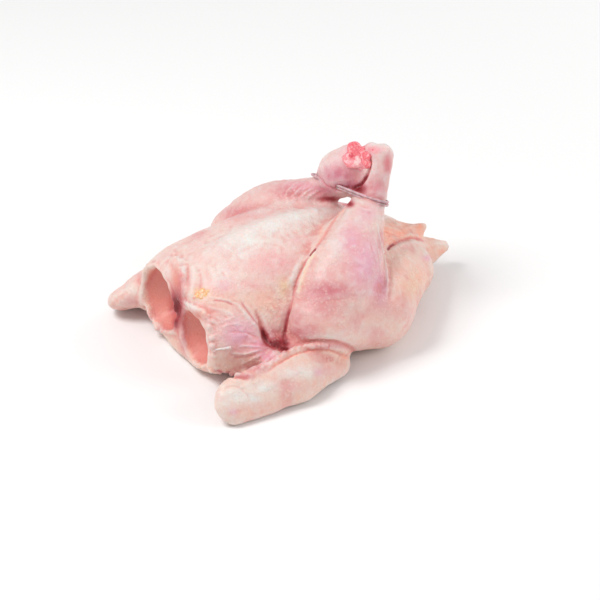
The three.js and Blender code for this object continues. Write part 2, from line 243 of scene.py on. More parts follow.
class Skin:
    """A skin mesh being sculpted, in millimetres, with the masks that are painted on it."""

    def __init__(self, mesh, view):
        self.mesh = mesh
        self.view = view
        self.co = coordinates(mesh)
        edges = np.empty(len(mesh.edges) * 2, np.int64)
        mesh.edges.foreach_get("vertices", edges)
        self.edges = edges.reshape(-1, 2)
        self.degree = np.bincount(self.edges.ravel(), minlength=len(self.co))[:, None]
        self.masks = {}
        self.refresh()

    def refresh(self):
        """Works out normals and the ray-casting tree afresh from the moved points."""
        set_coordinates(self.mesh, self.co)
        normals = np.empty(len(self.co) * 3)
        self.mesh.vertex_normals.foreach_get("vector", normals)
        self.normals = normals.reshape(-1, 3)
        faces = [tuple(p.vertices) for p in self.mesh.polygons]
        self.tree = BVHTree.FromPolygons(self.co.tolist(), faces)
        self.across, self.down, self.near_by = self.view.seen(self.co)

    def average(self, values):
        """The middle of each point's neighbours."""
        total = np.zeros_like(values)
        for k in range(values.shape[1]):
            total[:, k] = np.bincount(self.edges[:, 0], values[self.edges[:, 1], k], len(values))
            total[:, k] += np.bincount(self.edges[:, 1], values[self.edges[:, 0], k], len(values))
        return total / np.maximum(self.degree, 1)

    def smooth(self, rounds, keep_size=True):
        """Evens the surface out. Every second pass pushes back, so that the form doesn't shrink."""
        for _ in range(rounds):
            self.co += PUSH_IN * (self.average(self.co) - self.co)
            if keep_size:
                self.co -= PUSH_OUT * (self.average(self.co) - self.co)

    def hit(self, u, v):
        """The place on the skin seen at a pixel of the frame, or the nearest place to its ray."""
        origin, direction = self.view.ray(u, v)
        spot = self.tree.ray_cast(origin, direction)[0]
        if spot is not None:
            return np.array(spot)
        middle = self.view.distance / MM
        tries = [origin + direction * (middle + step) for step in SEARCH]
        near = [self.tree.find_nearest(p) for p in tries]
        return np.array(min(near, key=lambda found: found[3])[0])

    def hit_and_normal(self, u, v):
        spot = self.hit(u, v)
        return spot, np.array(self.tree.find_nearest(spot)[1])

    def path(self, pixels):
        """A smooth path over the skin through the given places, as points in millimetres."""
        line = curve_through(np.array(pixels, float))
        return np.array([self.hit(u, v) for u, v in line])

    def along(self, line, reach):
        """For the points near a line: their indices, their distance to it and the share along it."""
        low, high = line.min(0) - reach, line.max(0) + reach
        picked = np.nonzero(((self.co > low) & (self.co < high)).all(1))[0]
        p = self.co[picked]
        best = np.full(len(picked), 1e9)
        share = np.zeros(len(picked))
        for i, (a, b) in enumerate(zip(line[:-1], line[1:])):
            ab = b - a
            t = np.clip((p - a) @ ab / max(ab @ ab, 1e-9), 0, 1)
            d = np.linalg.norm(p - a - t[:, None] * ab, axis=1)
            closer = d < best
            best[closer] = d[closer]
            share[closer] = (i + t[closer]) / (len(line) - 1)
        return picked, best, share

    def stroke(self, line, width, height):
        """A ridge, or with a negative height a furrow, along a line."""
        picked, d, share = self.along(line, width * STROKE_REACH)
        fade = between(np.minimum(share, 1 - share), 0, STROKE_TAPER) ** STROKE_FADE
        lift = height * np.exp(-((d / width) ** 2)) * fade
        self.co[picked] += self.normals[picked] * lift[:, None]

    def lay(self, name, amounts, picked=slice(None)):
        """Raises a mask to the given amounts wherever it is lower."""
        mask = self.masks.setdefault(name, np.zeros(len(self.co)))
        mask[picked] = np.maximum(mask[picked], amounts)

    def paint(self, name, line, width, amount, fading=True):
        """Paints a soft stroke along a line, with ends that may fade."""
        picked, d, share = self.along(line, width * BRUSH_REACH)
        fade = np.clip(np.minimum(share, 1 - share) / BRUSH_TAPER + BRUSH_ENDS, 0, 1) if fading else 1
        self.lay(name, amount * fade * np.exp(-((d / width) ** 2)), picked)

    def dab(self, name, u, v, wide, high, amount):
        """Paints a soft oval patch, with its middle and half sizes in pixels of the frame."""
        depth = self.near_by - self.view.seen(self.hit(u, v))[2]
        spread = ((self.across - u) / wide) ** 2 + ((self.down - v) / high) ** 2
        spread += (depth / PATCH_DEPTH) ** 2
        facing = between(self.normals @ np.array(self.view.back), *FACING)
        self.lay(name, amount * facing * np.exp(-spread))

    def dab_at(self, name, spot, half_sizes, amount):
        """Paints a soft patch about a place of the bird's own frame."""
        d = np.linalg.norm((self.co - spot) / half_sizes, axis=1)
        self.lay(name, amount * np.exp(-(d**2)))

    def dent(self, u, v, radius, depth):
        """Presses a round hollow into the skin, away from the camera and into the body."""
        spot, normal = self.hit_and_normal(u, v)
        inward = -normal - np.array(self.view.back)
        inward /= np.linalg.norm(inward)
        d = np.linalg.norm(self.co - spot, axis=1) / radius
        self.co += (depth * np.exp(-(d**2)))[:, None] * inward

    def refined(self, lines, reach):
        """The same skin with its grain halved near the lines."""
        near = np.zeros(len(self.co), bool)
        for line in lines:
            picked, d, _ = self.along(line, reach)
            near[picked[d < reach]] = True
        bm = bmesh.new()
        bm.from_mesh(self.mesh)
        edges = [edge for edge in bm.edges if all(near[vert.index] for vert in edge.verts)]
        bmesh.ops.subdivide_edges(bm, edges=edges, cuts=1, use_grid_fill=True)
        return Skin(mesh_from(bm, self.mesh.name), self.view)

    def hollows(self):
        """How far each point lies in a hollow, or below 0 on a ridge, in millimetres."""
        blurred = self.co.copy()
        for _ in range(BLUR_ROUNDS):
            blurred = self.average(blurred)
        return np.einsum("ij,ij->i", blurred - self.co, self.normals)


def curve_through(points):
    """A smooth open curve through the points, with PATH_STEPS samples between each two."""
    padded = np.vstack([2 * points[0] - points[1], points, 2 * points[-1] - points[-2]])
    out = []
    for i in range(1, len(padded) - 2):
        a, b, c, d = padded[i - 1 : i + 3]
        for t in np.arange(PATH_STEPS) / PATH_STEPS:
            bend = (2 * a - 5 * b + 4 * c - d) * t**2 + (3 * b - a - 3 * c + d) * t**3
            out.append(0.5 * (2 * b + (c - a) * t + bend))
    out.append(points[-1])
    return np.array(out)


def value_noise(points, spacing, seed):
    """Smooth noise from -1 to 1 at each point, with bumps about `spacing` apart."""
    rng = np.random.default_rng(seed)
    lattice = rng.uniform(-1, 1, (LATTICE,) * 3)
    q = points / spacing + LATTICE_START
    base = np.floor(q).astype(int)
    t = q - base
    t = t * t * (3 - 2 * t)
    total = np.zeros(len(points))
    for corner in np.ndindex(2, 2, 2):
        index = (base + corner) % LATTICE
        weight = np.prod(np.where(corner, t, 1 - t), axis=1)
        total += weight * lattice[index[:, 0], index[:, 1], index[:, 2]]
    return total


# ---- the bird's skin

# The plane that cuts the neck, and the two pockets behind it as ellipsoids: middle and half sizes.
NECK_X = -116.0
NECK_SKEW = 0.05
LEFT_POCKET = {"middle": (-129, 22.5, 36.5), "half": (32, 25, 28)}
RIGHT_POCKET = {"middle": (-128, -26, 31), "half": (30, 21.5, 25)}
# What lies inside a pocket: nearness to its wall, as a share of its size, and depth behind the cut
# in millimetres, each from where it starts to where it is sure.
INSIDE_WALL, INSIDE_DEPTH = (1.12, 1.05), (1.5, 4.0)

MOUTH_POINTS = 56  # points round each pocket's mouth
MOUTH_ROUNDS = 4  # rounds that bring the mouth onto the slanting cut
# The rolled rims' unevenness: middle value, swing, and spacing on a circle of WAVER_RADIUS. The
# first two are in millimetres, and the thickness is a share of the rim's radius.
RIM_OUTWARD, RIM_ALONG, RIM_THICKNESS = (0.6, 0.8, 4.0), (0.9, 1.1, 5.0), (1, 0.4, 2.6)
WAVER_RADIUS = 14
RIM_SEEDS = (3, 8)
TUBE_SIDES = 8
# Unevenness of lips and lumps: share of the radius and spacing, and the shift between two lumps.
LIP_SWELL, LIP_SPACING = 0.45, 3.1
LUMP_SWELL, LUMP_SPACING, LUMP_SHIFT = 0.14, 0.7, 3.7
LUMP_DEPTH = 1.15  # how much deeper than wide a lump of skin is
FORM_ROUNDS, SKIN_ROUNDS, LOBE_ROUNDS = 14, 3, 4  # rounds of smoothing

# Lines with a name of their own, most of them both shaped and coloured: places in the frame.
FAR_POCKET_EDGE = [(158, 264), (150, 272), (145, 281), (142, 292), (143, 306), (149, 318), (157, 328)]
NEAR_POCKET_EDGE = [(182, 301), (188, 305), (194, 307), (200, 310), (207, 313)]
NECK_FOLD = [(208, 297), (222, 299), (232, 302), (241, 306)]
NECK_FURROW = [(213, 300.5), (225, 301.5), (233, 305)]
LOW_NECK_FOLD = [(207, 307), (218, 309), (229, 313), (237, 319)]
SHOULDER_FOLD = [(237, 303), (244, 312), (251, 321), (257, 328)]
SHOULDER_FURROW = [(241, 302), (248, 312), (255, 321), (261, 328), (265, 334)]
THIGH_CREASE = [(346, 207), (338, 214), (331, 225), (323, 238), (315, 250)]
THIGH_NICK = [(316, 249), (313, 252.5), (310, 256)]
SHANK_FOLD = [(374, 236), (378, 250), (380, 264), (381, 280)]
WING_LIP = [(248, 377), (268, 364), (284, 354), (298, 348), (312, 346), (328, 347), (342, 350), (351, 356)]
WING_FURROW = [
    (262, 366), (272, 357), (284, 350), (298, 344), (312, 341.5), (330, 342), (346, 346), (356, 352),
]
# Small lumps of skin and fat: place in the frame and radius in millimetres.
LUMPS = [
    (184, 304, 2.4), (188, 307, 2.7), (192, 307, 1.9), (196, 311, 2.6), (200, 313, 1.7), (204, 315, 2.4),
    (208, 320, 1.8), (209, 328, 2), (211, 338, 1.7), (212, 347, 2.1), (211, 356, 1.7), (147, 317, 1.7),
    (153, 324, 1.9), (159, 329, 1.8), (165, 331, 2.1), (171, 332, 1.6), (180, 262, 2.4), (183, 269, 2),
    (181, 275, 1.6), (209, 364, 1.5), (216, 368, 1.7), (224, 371, 1.5), (231, 373, 1.7), (238, 375, 1.4),
    (397, 224, 2), (270, 361, 1.1), (276, 357, 1.4), (282, 354, 1), (288, 351, 1.3), (294, 349, 1),
    (299, 347, 1.4), (305, 346.5, 1.1), (311, 345.5, 1.2), (338, 348, 0.9),
]
# Raised lips of skin: places in the frame, radius in millimetres and a seed for their unevenness.
LIPS = [
    (WING_LIP, 1.25, 4), ([(168, 258), (175, 262), (180, 272), (183, 286), (184, 298)], 2, 7),
    ([(184, 306), (183, 318), (184, 330), (187, 342)], 1.5, 9),
    ([(184, 303), (190, 306), (196, 309), (203, 312), (208, 318)], 1.7, 11), (FAR_POCKET_EDGE, 1.9, 5),
]
# Folds, part by part: places in the frame, half width and height (furrows below 0) in millimetres.
NECK_FOLDS = [
    ([(207, 264), (214, 276), (217, 288)], 2, 0.4), ([(216, 262), (225, 276), (232, 288)], 1.6, -0.35),
    ([(193, 264), (194, 276), (192, 290), (190, 300)], 1.7, 1),
    ([(199, 268), (201, 280), (199, 290)], 1.2, -0.6), ([(187, 262), (188, 274), (187, 288)], 1.4, -0.9),
    ([(178, 300), (178, 312), (177, 322)], 2.4, -2.2), (NECK_FOLD, 0.9, 0.45), (NECK_FURROW, 0.8, -0.4),
    (LOW_NECK_FOLD, 0.9, 0.5), ([(210, 311), (220, 314), (230, 319)], 0.8, -0.35),
    ([(208, 315), (216, 317), (224, 322)], 0.9, 0.45), ([(208, 321), (214, 322), (219, 326)], 0.8, 0.5),
]
BREAST_FOLDS = [
    ([(348, 205), (338, 216), (328, 231), (317, 247)], 5, -2.2),
    ([(352, 222), (340, 240), (330, 256), (318, 272)], 6, 1),
    ([(286, 296), (283, 308), (280, 322), (276, 332)], 3.5, 1.2),
    ([(255, 309), (260, 320), (263, 330), (266, 339), (272, 345), (280, 348.5), (290, 350)], 2.2, -3.6),
    (THIGH_CREASE, 1, -0.7), ([(309, 256), (303, 266), (298, 277), (294.5, 288), (293, 300)], 0.9, -1.3),
    ([(293, 298), (290, 308), (287, 318), (285, 330), (284, 338), (285, 346)], 1.2, -1.6),
    ([(317, 249), (310, 260), (304, 272), (300, 286), (297, 298)], 1.6, 1.1),
    ([(301, 258), (296, 268), (291, 280), (287, 292)], 2.2, 0.9), (THIGH_NICK, 0.7, -2.2),
    (SHOULDER_FOLD, 1, 0.45), (SHOULDER_FURROW, 0.8, -0.6),
    ([(250, 300), (257, 310), (264, 320), (268, 330)], 1.1, 0.3),
    ([(256, 304), (262, 313), (268, 322)], 0.9, -0.25), ([(268, 302), (274, 312), (277, 324)], 1, 0.4),
    ([(222, 321), (229, 319), (236, 317)], 0.8, 0.5),
    ([(219, 328), (228, 325), (237, 324), (247, 326)], 0.8, 0.6),
    ([(222, 333), (236, 332), (250, 334), (262, 341)], 0.8, -0.5),
    ([(238, 327), (247, 335), (256, 343)], 0.8, 0.5),
    ([(238, 346), (248, 346), (260, 347), (272, 348)], 0.9, 0.9),
    ([(230, 353), (244, 354), (256, 351), (266, 349)], 0.9, 0.9),
    ([(232, 358), (246, 357), (258, 354)], 0.8, -0.5), ([(237, 366), (250, 360), (262, 355)], 1, 0.7),
    ([(240, 369), (248, 374), (255, 377)], 1.1, 0.6),
]
LEG_FOLDS = [
    ([(388, 256), (396, 248), (406, 244), (418, 243), (430, 248)], 2.2, 0.8),
    ([(387.5, 250), (390, 246), (395, 243), (403, 240), (412, 238), (424, 241)], 1.3, -1.4),
    ([(377, 222), (380, 238), (383, 252), (386, 268), (387, 284), (387, 300)], 1, 0.9),
    ([(389, 258), (390, 272), (390, 290), (388, 302)], 1.4, -0.6), (SHANK_FOLD, 0.8, 0.6),
    ([(370, 240), (373, 252), (376, 266)], 0.8, -0.4), ([(383, 262), (384, 275), (384, 288)], 0.8, -0.5),
    ([(434, 248), (437, 258), (433, 270)], 1.6, 0.5),
    ([(302, 304), (322, 299), (344, 294), (368, 293), (386, 301)], 2, 0.35),
    ([(284, 197), (290, 189), (297, 182)], 0.9, 0.7), ([(288, 198), (294, 191), (301, 184)], 0.7, -0.6),
    ([(292, 197), (299, 190), (307, 183)], 0.8, 0.7), ([(296, 198), (303, 192), (311, 186)], 0.7, -0.6),
    ([(300, 198), (307, 192), (315, 187)], 0.8, 0.6), ([(307, 199), (314, 193), (322, 189)], 0.8, 0.6),
    ([(314, 200), (321, 195), (328, 192)], 0.8, 0.5),
    ([(352, 190), (360, 185), (366, 177), (370, 166), (370, 153)], 1.2, -2.6),
    ([(355, 205), (364, 209), (374, 211)], 0.9, 0.5),
    ([(318, 176), (328, 186), (342, 190), (352, 187)], 1.2, -0.9),
    ([(325, 160), (322, 168), (324, 177)], 2, 0.5),
]
VENT_FOLDS = [
    ([(380, 218), (392, 218), (404, 223)], 1.8, 0.7), ([(382, 225), (392, 228), (402, 232)], 1.6, 0.7),
    ([(382, 231), (392, 234), (400, 238)], 1.4, -0.5), ([(404, 229), (412, 226), (420, 226)], 1.2, 0.6),
    ([(403, 236), (412, 235), (421, 237)], 1.6, 0.7), ([(430, 240), (437, 238), (446, 240)], 1.2, -0.5),
    ([(432, 250), (438, 248), (446, 250)], 1.4, 0.5),
]
WING_FOLDS = [
    (WING_FURROW, 1.5, -3),
    ([(264, 374), (280, 363), (296, 354), (312, 350), (330, 351), (345, 357)], 1, -1),
    ([(219, 371), (230, 376), (242, 377), (250, 380)], 1.2, -2),
    ([(222, 379), (232, 379), (242, 383)], 1.2, 0.7), ([(224, 388), (234, 386), (243, 390)], 1, -0.6),
    ([(240, 388), (247, 395), (250, 402)], 1, -0.5),
    ([(250, 395), (276, 381), (300, 370), (326, 361)], 3.5, 0.5),
    ([(112, 306), (122, 296), (136, 288)], 1.4, -0.6), ([(118, 314), (130, 308), (144, 306)], 1.3, 0.6),
]
ALL_FOLDS = (NECK_FOLDS, BREAST_FOLDS, LEG_FOLDS, VENT_FOLDS, WING_FOLDS)
FINE_FOLD = 1.5  # narrower folds than this, in millimetres, get the finer grain
FINE_REACH = 3.0  # how far the finer grain reaches from its lines, in millimetres
# Cut edges where skin and fat hang in small beads: places in the frame and a seed.
RAGGED_EDGES = [
    (NEAR_POCKET_EDGE, 1), ([(208, 316), (210, 330), (212, 345), (213, 357)], 3),
    ([(200, 366), (212, 370), (224, 373), (238, 376)], 4),
    ([(146, 314), (152, 323), (160, 329), (168, 332), (176, 332)], 5),
    ([(171, 254), (177, 260), (181, 270), (183, 280)], 6),
    ([(262, 367), (272, 360), (284, 354), (298, 348), (312, 346), (328, 347)], 7),
]
BEAD_RADIUS = (0.9, 1.9)  # smallest and largest, in millimetres
BEAD_STRAY = 0.9  # how far a bead may lie from its edge, in millimetres
BEAD_RISE = 0.8  # height of a bead as a share of its radius
# Dents, and bulges below 0: place in the frame, radius and depth in millimetres.
DENTS = [(275, 331, 8, -1.6), (284, 347, 4.5, 2.2), (266, 339, 3.5, 1.6), (174, 310, 4, 2)]

# Wrinkles: height and spacing in millimetres, and a seed. All but the finest lie on a bent
# pattern: how far it is bent, the bends' spacing, and their seeds.
WRINKLES = [(0.30, 9, 21), (0.22, 3.8, 22)]
FINEST_WRINKLES = (0.16, 2.6, 25)
CREASES = (0.22, 6, 23)
LEG_RIDGES = (0.45, 4, 24)
BEND, BEND_SPACING, BEND_SEEDS = 3.0, 17, (11, 12, 13)
CREASE_SHARPNESS = 2.4
CREASE_AXES, RIDGE_AXES = (1, 1, 1.6), (0.5, 0.5, 1.7)  # above 1 the pattern is finer that way
# The drumsticks, where the skin is ridged: middle and half sizes in millimetres.
DRUMSTICKS = [((8, -36, 72), (34, 22, 28)), ((6, 36, 70), (34, 22, 28))]
FLESH_EVENNESS = 0.85  # share of the wrinkles that bare flesh loses


def set_at(bm, verts, direction, spot):
    """Turns upright points to a direction and moves them to a spot."""
    turn = Vector(direction).to_track_quat("Z", "Y").to_matrix().to_4x4()
    bmesh.ops.transform(bm, matrix=turn, verts=verts)
    bmesh.ops.translate(bm, vec=Vector(spot), verts=verts)


def tube_along(bm, line, radii, closed=False):
    """A round tube of varying radius along a line, skinned from rings made by bmesh."""
    rings = []
    count = len(line)
    for i, (spot, radius) in enumerate(zip(line, radii)):
        ahead = line[(i + 1) % count] if closed else line[min(i + 1, count - 1)]
        behind = line[i - 1] if closed else line[max(i - 1, 0)]
        verts = bmesh.ops.create_circle(bm, radius=radius, segments=TUBE_SIDES)["verts"]
        set_at(bm, verts, Vector(ahead - behind).normalized(), spot)
        rings.append(list({edge for vert in verts for edge in vert.link_edges}))
    pairs = list(zip(rings[:-1], rings[1:])) + ([(rings[-1], rings[0])] if closed else [])
    for one, other in pairs:
        bmesh.ops.bridge_loops(bm, edges=one + other)
    if not closed:
        for ring in (rings[0], rings[-1]):
            bmesh.ops.edgenet_fill(bm, edges=ring)


def around():
    """Evenly spaced angles round a pocket's mouth."""
    return np.linspace(0, 2 * math.pi, MOUTH_POINTS, endpoint=False)


def wavering(middle, swing, spacing, seed):
    """Uneven values about a middle one, round a pocket's mouth."""
    angles = around()
    circle = np.stack([np.cos(angles), np.sin(angles), 0 * angles], 1)
    return middle + swing * value_noise(circle * WAVER_RADIUS, spacing, seed)


def pocket_mouth(pocket):
    """Points round the edge where a pocket meets the plane of the cut."""
    (x, y, z), (half_x, half_y, half_z) = pocket["middle"], pocket["half"]
    angles = around()
    across = np.full(MOUTH_POINTS, float(y))
    for _ in range(MOUTH_ROUNDS):
        plane = NECK_X - NECK_SKEW * across
        share = np.sqrt(1 - ((plane - x) / half_x) ** 2)
        across = y + half_y * share * np.cos(angles)
    return np.stack([plane, across, z + half_z * share * np.sin(angles)], 1)


def neck_rim(bm, pocket, radius, seed):
    """The rolled, wavering edge of skin round one opening of the neck."""
    mouth = pocket_mouth(pocket)
    outward = mouth - mouth.mean(0)
    outward /= np.linalg.norm(outward, axis=1)[:, None]
    line = mouth + outward * wavering(*RIM_OUTWARD, seed)[:, None]
    line[:, 0] += wavering(*RIM_ALONG, seed + 1)
    tube_along(bm, line, radius * wavering(*RIM_THICKNESS, seed + 2), closed=True)


def lump(bm, radii, seed):
    """An uneven round lump about the origin, given as its points."""
    verts = bmesh.ops.create_icosphere(bm, subdivisions=3, radius=1)["verts"]
    points = np.array([vert.co for vert in verts])
    swell = 1 + LUMP_SWELL * value_noise(points + LUMP_SHIFT * seed, LUMP_SPACING, seed)
    for vert, size in zip(verts, swell):
        vert.co *= size
    bmesh.ops.scale(bm, vec=radii, verts=verts)
    return verts


def skin_form(sizes, view):
    """The bird's smooth form: the solid's mesh with its facets evened out and its edges rolled."""
    smooth = Skin(fused(merged_copy("chicken"), "form", sizes.rough_grain / MM), view)
    smooth.smooth(FORM_ROUNDS)
    smooth.refresh()
    bm = bmesh.new()
    bm.from_mesh(smooth.mesh)
    for pocket, seed in zip((LEFT_POCKET, RIGHT_POCKET), RIM_SEEDS):
        neck_rim(bm, pocket, sizes.rim / MM, seed)
    for seed, (u, v, radius) in enumerate(LUMPS):
        verts = lump(bm, (radius, radius * LUMP_DEPTH, radius), seed)
        bmesh.ops.translate(bm, vec=Vector(smooth.hit(u, v)), verts=verts)
    for pixels, radius, seed in LIPS:
        line = smooth.path(pixels)
        tube_along(bm, line, radius * (1 + LIP_SWELL * value_noise(line, LIP_SPACING, seed)))
    bmesh.ops.recalc_face_normals(bm, faces=bm.faces)
    return Skin(fused(bm, "chicken_skin", sizes.grain / MM), view)


def fold_skin(skin):
    """Presses in the dents, then raises and sinks the folds, part by part."""
    for u, v, radius, depth in DENTS:
        skin.dent(u, v, radius, depth)
    skin.refresh()
    for folds in ALL_FOLDS:
        for pixels, width, height in folds:
            skin.stroke(skin.path(pixels), width, height)
        skin.refresh()


def bead_edge(skin, line, seed):
    """Raises small uneven beads along a cut edge."""
    rng = np.random.default_rng(seed)
    for spot in line:
        radius = rng.uniform(*BEAD_RADIUS)
        d = np.linalg.norm(skin.co - spot - rng.normal(0, BEAD_STRAY, 3), axis=1) / radius
        skin.co += (BEAD_RISE * radius * np.exp(-(d**2)))[:, None] * skin.normals


def wrinkle_skin(skin):
    """Fine uneven wrinkling all over, with ridges that run round the drumsticks."""
    p = skin.co
    bent = p + BEND * np.stack([value_noise(p, BEND_SPACING, seed) for seed in BEND_SEEDS], 1)
    lift = sum(height * value_noise(bent, spacing, seed) for height, spacing, seed in WRINKLES)
    height, *pattern = CREASES
    creased = 1 - CREASE_SHARPNESS * np.abs(value_noise(bent * CREASE_AXES, *pattern))
    lift += height * np.clip(creased, 0, 1)
    height, *pattern = LEG_RIDGES
    for spot, half in DRUMSTICKS:
        leg = np.exp(-(np.linalg.norm((p - spot) / half, axis=1) ** 2))
        lift += height * leg * value_noise(bent * RIDGE_AXES, *pattern)
    height, *pattern = FINEST_WRINKLES
    lift += height * value_noise(p, *pattern)
    lift *= 1 - FLESH_EVENNESS * skin.masks["flesh"]
    skin.co += skin.normals * lift[:, None]


def between(value, low, high):
    """0 up to low, 1 from high on and straight between, where low may also be the larger one."""
    return np.clip((value - low) / (high - low), 0, 1)


def pocket_mask(skin):
    """1 on the flesh inside the neck's pockets, up to their rims."""
    mask = np.zeros(len(skin.co))
    for pocket in (LEFT_POCKET, RIGHT_POCKET):
        wall = np.linalg.norm((skin.co - pocket["middle"]) / pocket["half"], axis=1)
        depth = skin.co[:, 0] - (NECK_X - NECK_SKEW * skin.co[:, 1])
        inward = np.einsum("ij,ij->i", skin.normals, np.array(pocket["middle"]) - skin.co) > 0
        inside = between(wall, *INSIDE_WALL) * between(depth, *INSIDE_DEPTH)
        mask = np.maximum(mask, inside * inward)
    return mask


# ---- the skin's colours

# Blotches over all the skin: spacing in millimetres and a seed.
BLOTCHES, FINE_BLOTCHES, RED_BLOTCHES = (21, 31), (7, 32), (16, 33)
FINE_SHARE = 0.4  # how much the fine blotches count beside the broad ones
# Amounts of the colours that don't follow a patch, and the range over which each sets in: heights
# and places along the bird in millimetres, and values of the blotches.
# The breast's pale band is partly white skin and partly a painted highlight along the top of the breast.
BREAST_PALE, PALE_HALF_WIDTH, PALE_HEIGHTS, PALE_START = 0.7, 22, (64, 84), (-118, -70)
LOW_CREAM, CREAM_HEIGHTS = 0.85, (62, 8)
LOOSE_PINK, LOOSE_PINK_RANGE = 0.38, (0.05, 0.8)
LOOSE_ROSY, LOOSE_ROSY_RANGE = 0.20, (0.3, 0.8)
# Patches of colour on the bird's parts: mask, middle and half sizes in millimetres, amount.
PLACES = [
    ("pink", (2, 42, 64), (42, 26, 30), 0.8),
    ("rosy", (-20, 70, 45), (26, 22, 20), 0.5),
    ("pink", (-40, 40, 60), (34, 18, 20), 0.5),
    ("orange", (66, 0, 46), (22, 14, 12), 0.8),
    ("orange", (96, 0, 24), (16, 14, 10), 0.4),
    ("mauve", (40, 8, 112), (14, 14, 20), 0.35),
    ("rosy", (20, 16, 84), (16, 14, 14), 0.5),
    ("rosy", (-100, 78, 6), (22, 14, 9), 0.6),
]
